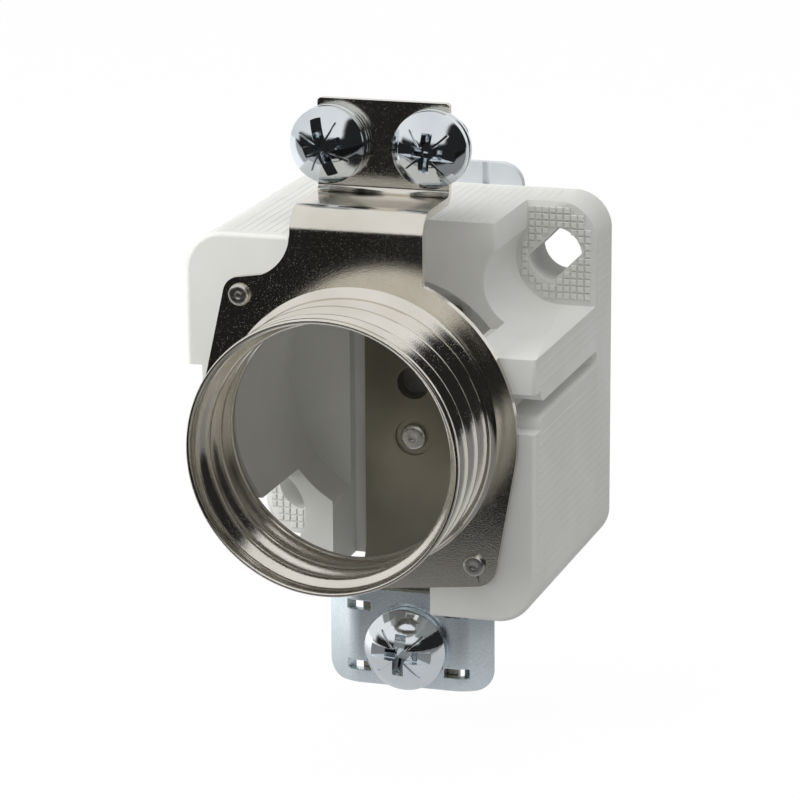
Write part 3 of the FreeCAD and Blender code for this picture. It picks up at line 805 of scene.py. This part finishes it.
body_mesh = softened(merged_copy("ceramic_base"), "ceramic_body", BODY_EDGE)
limit_x = HALF_WIDTH * MM - RIB_HEIGHT
limit_z = HALF_HEIGHT * MM - RIB_HEIGHT
for vertex in body_mesh.vertices:
    vertex.co.x = min(max(vertex.co.x, -limit_x), limit_x)
    vertex.co.z = min(max(vertex.co.z, -limit_z), limit_z)
finish_object(body_mesh, "ceramic_body", ceramic, "fuse_base", ["ceramic_base"])

# %% [markdown]
# ## Waffle and ribs from Geometry Nodes
# The ears around the fixing holes have a waffle of small squares, which keeps a fixing screw's head from
# creeping, and the sides have fine ribs along the pressing direction. Copying one tile in a loop would
# work, but a node tree keeps the pattern apart from its places. The waffle tree puts a square tile on
# every point, and the rib tree sweeps a round profile along every line. Sizes are named inputs.

# %% Helpers for a node tree


def geometry_tree(name, inputs):
    """An empty geometry tree with a mesh input and named inputs."""
    tree = bpy.data.node_groups.new(name, "GeometryNodeTree")
    tree.interface.new_socket("Geometry", in_out="INPUT", socket_type="NodeSocketGeometry")
    for label, kind, value in inputs:
        socket = tree.interface.new_socket(label, in_out="INPUT", socket_type=kind)
        if value is not None:
            socket.default_value = value
    tree.interface.new_socket("Geometry", in_out="OUTPUT", socket_type="NodeSocketGeometry")
    return tree, tree.nodes.new("NodeGroupInput"), tree.nodes.new("NodeGroupOutput")


def link_all(tree, pairs):
    """Links each (output, input) pair."""
    for source, target in pairs:
        tree.links.new(source, target)


# %% The tree of the waffle
TILE_WIDTH = 0.72 * MM
TILE_HEIGHT = 0.12 * MM
TILE_FOOT = 0.80
TILE_TOP = 0.60
TILE_WEAR = 0.06
WEAR_SEED = 7
SQUARE = 4

waffle, w_in, w_out = geometry_tree(
    "waffle tiles",
    [("Tile Width", "NodeSocketFloat", TILE_WIDTH), ("Tile Height", "NodeSocketFloat", TILE_HEIGHT),
     ("Wear", "NodeSocketFloat", TILE_WEAR), ("Seed", "NodeSocketInt", WEAR_SEED),
     ("Material", "NodeSocketMaterial", None)])
tile = waffle.nodes.new("GeometryNodeMeshCone")
tile.inputs["Vertices"].default_value = SQUARE
foot_radius = math_node(waffle, "MULTIPLY", w_in.outputs["Tile Width"], TILE_FOOT)
top_radius = math_node(waffle, "MULTIPLY", w_in.outputs["Tile Width"], TILE_TOP)
on_points = waffle.nodes.new("GeometryNodeInstanceOnPoints")
on_points.inputs["Rotation"].default_value = (math.pi / 2, math.pi / 4, 0.0)
spread = waffle.nodes.new("FunctionNodeRandomValue")
spread.data_type = "FLOAT"
low_scale = math_node(waffle, "SUBTRACT", 1.0, w_in.outputs["Wear"])
tiles_real = waffle.nodes.new("GeometryNodeRealizeInstances")
tiles_done = waffle.nodes.new("GeometryNodeSetMaterial")
random_inputs = [socket for socket in spread.inputs if socket.enabled]
spread_min = next(socket for socket in random_inputs if socket.name == "Min")
spread_max = next(socket for socket in random_inputs if socket.name == "Max")
spread_seed = next(socket for socket in random_inputs if socket.name == "Seed")
spread_max.default_value = 1.0
spread_out = next(socket for socket in spread.outputs if socket.enabled)
link_all(waffle, [
    (foot_radius, tile.inputs["Radius Bottom"]), (top_radius, tile.inputs["Radius Top"]),
    (w_in.outputs["Tile Height"], tile.inputs["Depth"]),
    (w_in.outputs["Geometry"], on_points.inputs["Points"]),
    (tile.outputs["Mesh"], on_points.inputs["Instance"]),
    (low_scale, spread_min), (w_in.outputs["Seed"], spread_seed),
    (spread_out, on_points.inputs["Scale"]),
    (on_points.outputs["Instances"], tiles_real.inputs["Geometry"]),
    (tiles_real.outputs["Geometry"], tiles_done.inputs["Geometry"]),
    (w_in.outputs["Material"], tiles_done.inputs["Material"]),
    (tiles_done.outputs["Geometry"], w_out.inputs["Geometry"]),
])
print("tree:", waffle.name, "with", len(waffle.nodes), "nodes")

# %% The tree of the ribs
RIB_RADIUS = 0.45
RIB_SIDES = 16

ribs, r_in, r_out = geometry_tree(
    "moulding ribs",
    [("Rib Radius", "NodeSocketFloat", RIB_RADIUS * MM), ("Material", "NodeSocketMaterial", None)])
to_curve = ribs.nodes.new("GeometryNodeMeshToCurve")
profile = ribs.nodes.new("GeometryNodeCurvePrimitiveCircle")
profile.inputs["Resolution"].default_value = RIB_SIDES
sweep = ribs.nodes.new("GeometryNodeCurveToMesh")
sweep.inputs["Fill Caps"].default_value = True
ribs_real = ribs.nodes.new("GeometryNodeRealizeInstances")
ribs_done = ribs.nodes.new("GeometryNodeSetMaterial")
link_all(ribs, [
    (r_in.outputs["Geometry"], to_curve.inputs["Mesh"]), (to_curve.outputs["Curve"], sweep.inputs["Curve"]),
    (r_in.outputs["Rib Radius"], profile.inputs["Radius"]),
    (profile.outputs["Curve"], sweep.inputs["Profile Curve"]),
    (sweep.outputs["Mesh"], ribs_real.inputs["Geometry"]),
    (ribs_real.outputs["Geometry"], ribs_done.inputs["Geometry"]),
    (r_in.outputs["Material"], ribs_done.inputs["Material"]),
    (ribs_done.outputs["Geometry"], r_out.inputs["Geometry"]),
])
print("tree:", ribs.name, "with", len(ribs.nodes), "nodes")

# %% From a tree to a plain mesh


def grown(name, tree, points, edges, material):
    """The mesh that a tree grows from points and edges."""
    base = bpy.data.meshes.new(name + "_base")
    base.from_pydata(points, edges, [])

    def add(helper):
        modifier = helper.modifiers.new("grow", "NODES")
        modifier.node_group = tree
        for item in tree.interface.items_tree:
            if item.item_type == "SOCKET" and item.in_out == "INPUT" and item.name == "Material":
                modifier[item.identifier] = material
    return apply_modifiers(base, name, add)


# %% [markdown]
# ## Where the tiles stand
# The lower left corner of the body is the upper right one turned by half a turn. So the points are
# found for one ear and turned for the other. A point counts where a whole tile fits between the edge of
# the ear and the fixing hole, which is round with two flats, so no tile has to be cut.

# %% Tiles on the ears
EAR_FACE = -9.2 * MM
TILE_PITCH = 0.93
TILE_SHIFT = 1.5
PAD_WIDTH = 10
PAD_ROUND = (17.9, 16.1, 5.75)
PAD_SIDE_X = 13.5
PAD_FLOOR_Z = 10.35
PAD_OUTER = (21.9, 23.0)
PAD_CORNER = (17.5, 18.6, 4.4)
HOLE_CENTRE = (17.05, 16.6)
HOLE_RADIUS = 3.55
HOLE_HALF_FLAT = 2.25
TILE_HALF = 0.36


def on_pad(x, z):
    """True where a whole tile fits on the ear around the fixing hole."""
    cx, cz, radius = PAD_ROUND
    radius -= TILE_HALF
    inside = math.hypot(x - cx, z - cz) < radius
    inside = inside or (x > PAD_SIDE_X + TILE_HALF and z > cz) or (x > cx and z > PAD_FLOOR_Z + TILE_HALF)
    inside = inside and x < PAD_OUTER[0] and z < PAD_OUTER[1]
    kx, kz, corner = PAD_CORNER
    if x > kx and z > kz and math.hypot(x - kx, z - kz) > corner - TILE_HALF / 2:
        inside = False
    along = ((x - HOLE_CENTRE[0]) + (z - HOLE_CENTRE[1])) / math.sqrt(2)
    across = ((z - HOLE_CENTRE[1]) - (x - HOLE_CENTRE[0])) / math.sqrt(2)
    in_round = math.hypot(along, across) < HOLE_RADIUS + TILE_HALF
    in_flats = abs(across) < HOLE_HALF_FLAT + TILE_HALF
    return inside and not (in_round and in_flats)


tile_points = []
tile_level = EAR_FACE - TILE_HEIGHT / 2
columns = int(PAD_WIDTH / TILE_PITCH) + 1
for column in range(columns):
    for row in range(2 * columns):
        x = PAD_SIDE_X - TILE_SHIFT * TILE_PITCH + column * TILE_PITCH
        z = PAD_FLOOR_Z + row * TILE_PITCH
        if on_pad(x, z):
            tile_points.append((x * MM, tile_level, z * MM))
            tile_points.append((-x * MM, tile_level, -z * MM))
tiles = grown("waffle_tiles", waffle, tile_points, [], ceramic)
shade_by_angle(tiles)
finish_object(tiles, "waffle_tiles", ceramic, "fuse_base", ["ceramic_base"])

# %% [markdown]
# ## Where the ribs run
# The ribs run from front to back on all four sides, except where a slit or a recess cuts the side away.
# A bump would draw them across those too. So each side has a list of its stretches, and a loop fills
# every stretch with ribs at one pitch.

# %% Ribs on the four sides
RIB_PITCH = 1.1
RIB_SHARP_DEGREES = 40
RIB_DEPTH_X = HALF_WIDTH - RIB_RADIUS
RIB_DEPTH_Z = HALF_HEIGHT - RIB_RADIUS
# Each stretch: its lowest and highest rib across the side, and where those begin and end along Y
RIGHT_RIBS = [(-17.6, 0.0, -36.4, -2.6), (6.4, 9.4, -36.4, -2.6), (10.8, 17.8, -8.4, -2.6)]
LEFT_RIBS = [(7.2, 17.8, -36.4, -2.6), (-17.8, 6.4, -8.4, -2.6)]
TOP_RIBS = [(-17.0, -9.8, -36.4, -2.6), (-8.6, 12.6, -23.4, -2.6), (14.0, 17.2, -8.4, -2.6)]
BOTTOM_RIBS = [(9.8, 17.0, -36.4, -2.6), (-7.6, 8.4, -14.0, -2.6), (-12.6, -9.0, -23.4, -2.6),
               (-17.2, -14.0, -8.4, -2.6)]
rib_points = []
rib_edges = []


def add_ribs(stretches, line):
    """The rib lines of each (low, high, front, back) stretch. The line function gives a rib's ends."""
    for low, high, front, back in stretches:
        for index in range(int((high - low) / RIB_PITCH) + 1):
            start = len(rib_points)
            for x, y, z in line(low + index * RIB_PITCH, front, back):
                rib_points.append((x * MM, y * MM, z * MM))
            rib_edges.append((start, start + 1))


add_ribs(RIGHT_RIBS, lambda z, front, back: ((RIB_DEPTH_X, front, z), (RIB_DEPTH_X, back, z)))
add_ribs(LEFT_RIBS, lambda z, front, back: ((-RIB_DEPTH_X, front, z), (-RIB_DEPTH_X, back, z)))
add_ribs(TOP_RIBS, lambda x, front, back: ((x, front, RIB_DEPTH_Z), (x, back, RIB_DEPTH_Z)))
add_ribs(BOTTOM_RIBS, lambda x, front, back: ((x, front, -RIB_DEPTH_Z), (x, back, -RIB_DEPTH_Z)))
rib_mesh = grown("moulding_ribs", ribs, rib_points, rib_edges, ceramic)
shade_by_angle(rib_mesh, RIB_SHARP_DEGREES)
finish_object(rib_mesh, "moulding_ribs", ceramic, "fuse_base", ["ceramic_base"])

# %% [markdown]
# ## The latch's spring
# The spring is a coil of wire between the clip and the latch. Its lower end stands on the clip, and the
# latch squeezes it by its full travel of 3 mm. A piece that only rides on a body would cut through the
# latch, and this coil rides on the base with its own copy of the solid's mesh.

# %% The coil, on the base with its own mesh
WIRE_SHARP_DEGREES = 40

spring_mesh = merged_copy("latch_spring")
shade_by_angle(spring_mesh, WIRE_SHARP_DEGREES)
spring = finish_object(spring_mesh, "latch_spring_coil", zinc, "fuse_base",
                       ["latch_spring"])
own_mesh(spring)

# %% [markdown]
# ## The floor
# The object is held over a plain pale floor. Matte surfaces only need its light, but polished metal
# shows the floor itself. So the camera sees it almost white, with a faint shadow, and reflections see
# it dark towards the front and pale under the object. Two floors could do that too, but one material
# that asks what kind of ray it meets is simpler.

# %% Masks for the studio


def ramp(tree, value, first, last, low=0.0, high=1.0):
    """A smooth change from low to high as the value goes from first to last."""
    node = tree.nodes.new("ShaderNodeMapRange")
    node.interpolation_type = "SMOOTHSTEP"
    tree.links.new(value, node.inputs["Value"])
    node.inputs["From Min"].default_value = first
    node.inputs["From Max"].default_value = last
    node.inputs["To Min"].default_value = low
    node.inputs["To Max"].default_value = high
    return node.outputs["Result"]


def seen_in_metal(tree, path):
    """1 for a ray that comes from a mirror or through glass, and 0 for any other."""
    return math_node(tree, "MAXIMUM", path.outputs["Is Glossy Ray"], path.outputs["Is Transmission Ray"])


# %% The floor
FLOOR_LEVEL = -46.0 * MM
FLOOR_CORNERS = ((-2.0, -0.35), (2.0, -0.35), (2.0, 3.0), (-2.0, 3.0))
FLOOR_GREY = (0.5, 0.5, 0.5, 1.0)
# Where the reflected floor changes, in metres: towards the front, under the object and to the left
FRONT_EDGE = (-0.155, -0.122)
UNDER_EDGE = (-0.055, -0.035)
LEFT_EDGE = (-0.02, -0.06)
FLOOR_UNDER = 0.42
FLOOR_MIDDLE = 0.25
FLOOR_DARK = 0.008
FLOOR_LEFT = 1.9
FLOOR_SHADOW = 0.06
FLOOR_WHITE = 1.035


def stage_material():
    """A floor that the camera sees almost white, and that reflections see dark towards the front."""
    material = bpy.data.materials.new("pale floor")
    material.use_nodes = True
    tree = material.node_tree
    tree.nodes.clear()
    out = tree.nodes.new("ShaderNodeOutputMaterial")
    path = tree.nodes.new("ShaderNodeLightPath")
    where = tree.nodes.new("ShaderNodeTexCoord")
    split = tree.nodes.new("ShaderNodeSeparateXYZ")
    tree.links.new(where.outputs["Object"], split.inputs[0])
    diffuse = tree.nodes.new("ShaderNodeBsdfDiffuse")
    diffuse.inputs["Color"].default_value = FLOOR_GREY
    glow = tree.nodes.new("ShaderNodeEmission")
    glow.inputs["Strength"].default_value = FLOOR_WHITE
    mirrored = tree.nodes.new("ShaderNodeEmission")
    middle = ramp(tree, split.outputs["Y"], *FRONT_EDGE, FLOOR_DARK, FLOOR_MIDDLE)
    under = ramp(tree, split.outputs["Y"], *UNDER_EDGE, 0.0, FLOOR_UNDER)
    left = ramp(tree, split.outputs["X"], *LEFT_EDGE, 1.0, FLOOR_LEFT)
    tree.links.new(math_node(tree, "MULTIPLY", math_node(tree, "ADD", middle, under), left),
                   mirrored.inputs["Strength"])
    seen = tree.nodes.new("ShaderNodeMixShader")
    share = math_node(tree, "MULTIPLY", path.outputs["Is Camera Ray"], 1.0 - FLOOR_SHADOW)
    tree.links.new(share, seen.inputs[0])
    tree.links.new(diffuse.outputs[0], seen.inputs[1])
    tree.links.new(glow.outputs[0], seen.inputs[2])
    mix = tree.nodes.new("ShaderNodeMixShader")
    tree.links.new(seen_in_metal(tree, path), mix.inputs[0])
    tree.links.new(seen.outputs[0], mix.inputs[1])
    tree.links.new(mirrored.outputs[0], mix.inputs[2])
    tree.links.new(mix.outputs[0], out.inputs["Surface"])
    return material


bm = bmesh.new()
for x, y in FLOOR_CORNERS:
    bm.verts.new((x, y, FLOOR_LEVEL))
bm.faces.new(bm.verts)
floor = bpy.data.objects.new("floor", mesh_from(bm, "floor"))
floor.data.materials.append(stage_material())
bpy.context.scene.collection.objects.link(floor)
print("floor at", round(FLOOR_LEVEL, 4))

# %% [markdown]
# ## The world
# Bright plating gets its black and white bands from the room around it. A room could be built of panels,
# but they would light the ceramic too. So the world has a second face that only reflections see: pale
# on the left, above and behind, and dark on the right and low in front. The camera sees it white, and
# matte surfaces get an even, weak light from it.

# %% Even light for matte surfaces, and a studio for reflections
# Where the studio turns dark, as directions: low in front, by height and depth, then on the right side
LOW_HEIGHT = (0.30, 0.10)
FRONT_DEPTH = (-0.1, -0.35)
RIGHT_REACH = (0.38, 0.6)
RIGHT_HEIGHT = (0.88, 0.72)
DIFFUSE_LIGHT = 0.34
STUDIO_BRIGHT = 0.92
STUDIO_DARK = 0.02
world = bpy.data.worlds.new("studio")
bpy.context.scene.world = world
world.use_nodes = True
tree = world.node_tree
background = tree.nodes["Background"]
background.inputs["Color"].default_value = (1.0, 1.0, 1.0, 1.0)
where = tree.nodes.new("ShaderNodeTexCoord")
split = tree.nodes.new("ShaderNodeSeparateXYZ")
tree.links.new(where.outputs["Generated"], split.inputs[0])
to_right = split.outputs["X"]
to_back = split.outputs["Y"]
upwards = split.outputs["Z"]
low_front = math_node(tree, "MULTIPLY", ramp(tree, upwards, *LOW_HEIGHT),
                      ramp(tree, to_back, *FRONT_DEPTH))
right_side = math_node(tree, "MULTIPLY", ramp(tree, to_right, *RIGHT_REACH),
                       ramp(tree, upwards, *RIGHT_HEIGHT))
open_studio = math_node(tree, "MULTIPLY", math_node(tree, "SUBTRACT", 1.0, low_front),
                        math_node(tree, "SUBTRACT", 1.0, right_side))
studio = ramp(tree, open_studio, 0.0, 1.0, STUDIO_DARK, STUDIO_BRIGHT)
path = tree.nodes.new("ShaderNodeLightPath")
seen_by_metal = math_node(tree, "MULTIPLY", studio, seen_in_metal(tree, path))
fill = math_node(tree, "MULTIPLY", path.outputs["Is Diffuse Ray"], DIFFUSE_LIGHT)
sharp = math_node(tree, "MAXIMUM", seen_by_metal, path.outputs["Is Camera Ray"])
seen = math_node(tree, "MAXIMUM", sharp, fill)
tree.links.new(seen, background.inputs["Strength"])
print("world nodes:", len(tree.nodes))

# %% [markdown]
# ## The lamps
# Three large soft lamps light the ceramic: the main one from the left, one from above and a weak one
# from the right, which keeps that side readable. Small lamps would draw hard shadows. Reflections don't
# see the lamps, because the world already gives the metal its bright panels.

# %% Three soft lamps
# Each lamp's azimuth and elevation in degrees, distance and size in metres, and power in watts
LAMPS = [
    ("left softbox", -55.0, 22.0, 0.75, (0.5, 0.7), 5.0),
    ("top softbox", 10.0, 76.0, 0.8, (0.8, 0.6), 3.6),
    ("right softbox", 75.0, 14.0, 0.8, (0.4, 0.7), 0.8),
]
TARGET = Vector((0.0, -0.025, 0.0))
for name, azimuth, elevation, distance, size, power in LAMPS:
    a = math.radians(azimuth)
    e = math.radians(elevation)
    direction = Vector((math.sin(a) * math.cos(e), -math.cos(a) * math.cos(e), math.sin(e)))
    data = bpy.data.lights.new(name, "AREA")
    data.shape = "RECTANGLE"
    data.size, data.size_y = size
    data.energy = power
    lamp = bpy.data.objects.new(name, data)
    lamp.location = TARGET + direction * distance
    lamp.rotation_euler = direction.to_track_quat("Z", "Y").to_euler()
    lamp.visible_glossy = False
    bpy.context.scene.collection.objects.link(lamp)
print("lamps:", len(LAMPS))

# %% [markdown]
# ## The end of the lesson
# The colours are shown as they are written.

# %% View settings
bpy.context.scene.view_settings.view_transform = "Standard"
